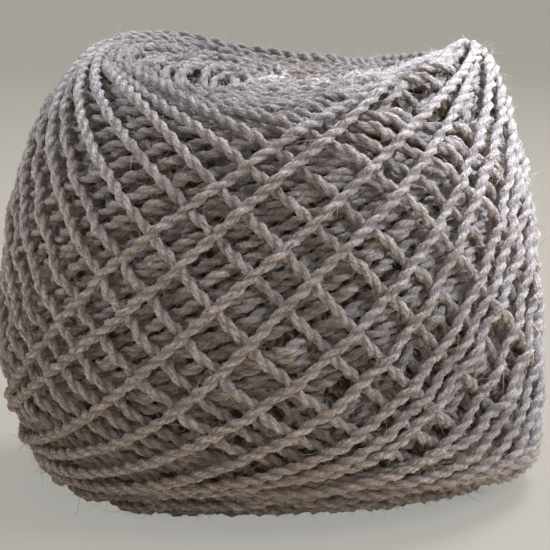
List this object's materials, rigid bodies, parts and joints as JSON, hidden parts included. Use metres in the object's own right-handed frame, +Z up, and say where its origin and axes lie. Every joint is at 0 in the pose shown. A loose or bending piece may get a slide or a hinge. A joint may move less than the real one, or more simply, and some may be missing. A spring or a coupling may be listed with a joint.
{
  "type": "alpaca yarn ball",
  "caption": "Wound ball of natural two-ply alpaca yarn, with crossing turns, a flat foot and a shallow hollow on top.",
  "frame": {"origin": "centre of the flat foot, on the surface that the ball stands on", "axes": "+Z up along the winding axis, out of the hollow at the top; -Y towards the side where the newest turn crosses the ball's middle"},
  "size_m": [0.0936, 0.0927, 0.0775],
  "materials": {
    "alpaca_yarn": "soft, matt, slightly hairy two-ply yarn in natural greige"
  },
  "bodies": {
    "root": {"yarn_ball": "alpaca_yarn"}
  },
  "joints": []
}
